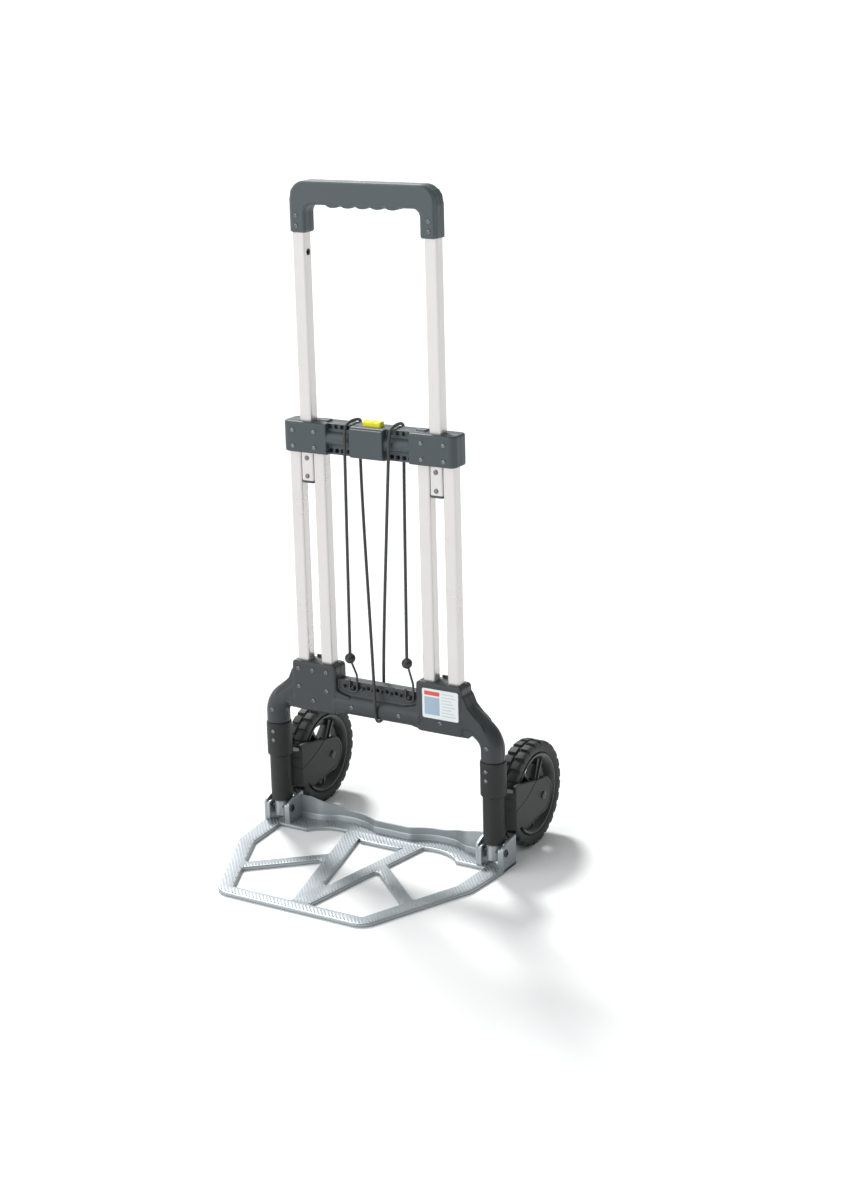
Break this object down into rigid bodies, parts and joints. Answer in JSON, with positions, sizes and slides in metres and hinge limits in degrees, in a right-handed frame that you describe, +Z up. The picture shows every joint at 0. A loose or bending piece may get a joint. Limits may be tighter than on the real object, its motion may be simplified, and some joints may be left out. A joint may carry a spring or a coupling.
{
  "type": "folding luggage cart",
  "caption": "Two-wheeled luggage cart with a pull-out grip, a fold-up toe plate whose motion swings the wheels in, and an elastic cord.",
  "frame": {"origin": "on the floor at the centre of the footprint of the opened cart", "axes": "+Z up, +X across the width, -Y towards the load on the toe plate"},
  "size_m": [0.461, 0.479, 1.058],
  "materials": {
    "grip_plastic": "fine-grained moulded plastic",
    "bar_plastic": "fine-grained moulded plastic",
    "frame_plastic": "semi-matt moulded plastic",
    "sleeve_plastic": "semi-matt moulded plastic",
    "rim_plastic": "semi-matt moulded plastic",
    "tyre_rubber": "matt rubber",
    "tube_aluminium": "satin anodised",
    "cast_aluminium": "cast and brushed",
    "screw_steel": "dark plated",
    "spring_steel": "bright drawn",
    "hook_wire": "dark plated wire",
    "elastic_cord": "braided elastic",
    "button_plastic": "smooth moulded plastic",
    "label_film": "printed film"
  },
  "bodies": {
    "frame": {"lower_frame_front": "frame_plastic", "lower_frame_rear": "frame_plastic", "frame_screws": "screw_steel", "cross_tube": "tube_aluminium", "safety_label": "label_film", "collar_rivets": "screw_steel", "midbar_front_shell": "bar_plastic", "midbar_rear_shell": "bar_plastic", "midbar_rivets": "screw_steel", "latch_cover": "bar_plastic", "cord": "elastic_cord", "button_spring": "spring_steel", "leg_tube_left": "tube_aluminium", "leg_collar_left": "sleeve_plastic", "leg_foot_left": "cast_aluminium", "frame_tube_outer_left": "tube_aluminium", "frame_tube_inner_left": "tube_aluminium", "cord_knot_left": "elastic_cord", "cord_hook_left": "hook_wire", "leg_tube_right": "tube_aluminium", "leg_collar_right": "sleeve_plastic", "leg_foot_right": "cast_aluminium", "frame_tube_outer_right": "tube_aluminium", "frame_tube_inner_right": "tube_aluminium", "cord_knot_right": "elastic_cord", "cord_hook_right": "hook_wire"},
    "handle": {"handle_tube_left": "tube_aluminium", "handle_tube_right": "tube_aluminium", "guide_shoe_left": "sleeve_plastic", "guide_shoe_right": "sleeve_plastic", "guide_rivets": "screw_steel", "grip_front": "grip_plastic", "grip_rear": "grip_plastic", "grip_screws": "screw_steel"},
    "button": {"release_button": "button_plastic"},
    "bolt_left": {"latch_bolt_left": "spring_steel"},
    "bolt_right": {"latch_bolt_right": "spring_steel"},
    "toe_plate": {"toe_plate": "cast_aluminium", "hinge_pin_left": "screw_steel", "hinge_pin_right": "screw_steel"},
    "fork_left": {"wheel_fork_left": "sleeve_plastic", "wheel_axle_left": "screw_steel"},
    "wheel_left": {"wheel_rim_left": "rim_plastic", "wheel_tyre_left": "tyre_rubber"},
    "fork_right": {"wheel_fork_right": "sleeve_plastic", "wheel_axle_right": "screw_steel"},
    "wheel_right": {"wheel_rim_right": "rim_plastic", "wheel_tyre_right": "tyre_rubber"}
  },
  "joints": [
    {"name": "handle_slide", "type": "slide", "parent": "frame", "child": "handle", "axis": [0, 0, 1], "range_m": [-0.285, 0]},
    {"name": "button_press", "type": "slide", "parent": "frame", "child": "button", "axis": [0, 0, 1], "range_m": [-0.006, 0], "stiffness_N_per_m": 700, "deforming": ["button_spring"]},
    {"name": "bolt_left_slide", "type": "slide", "parent": "frame", "child": "bolt_left", "axis": [1, 0, 0], "range_m": [0, 0.005]},
    {"name": "bolt_right_slide", "type": "slide", "parent": "frame", "child": "bolt_right", "axis": [-1, 0, 0], "range_m": [0, 0.005]},
    {"name": "toe_fold", "type": "hinge", "parent": "frame", "child": "toe_plate", "pos_m": [0, 0.0345, 0.031], "axis": [-1, 0, 0], "range_deg": [0, 90]},
    {"name": "swing_left", "type": "hinge", "parent": "frame", "child": "fork_left", "pos_m": [-0.199, 0.0435, 0.08], "axis": [0, 0, -1], "range_deg": [0, 90]},
    {"name": "swing_right", "type": "hinge", "parent": "frame", "child": "fork_right", "pos_m": [0.199, 0.0435, 0.08], "axis": [0, 0, 1], "range_deg": [0, 90]},
    {"name": "spin_left", "type": "hinge", "parent": "fork_left", "child": "wheel_left", "pos_m": [-0.199, 0.1545, 0.085], "axis": [1, 0, 0], "continuous": true},
    {"name": "spin_right", "type": "hinge", "parent": "fork_right", "child": "wheel_right", "pos_m": [0.199, 0.1545, 0.085], "axis": [1, 0, 0], "continuous": true}
  ],
  "couplings": [
    {"joint": "bolt_left_slide", "follows": "button_press", "ratio": -0.83333},
    {"joint": "bolt_right_slide", "follows": "button_press", "ratio": -0.83333},
    {"joint": "swing_left", "follows": "toe_fold", "ratio": 1},
    {"joint": "swing_right", "follows": "toe_fold", "ratio": 1}
  ]
}
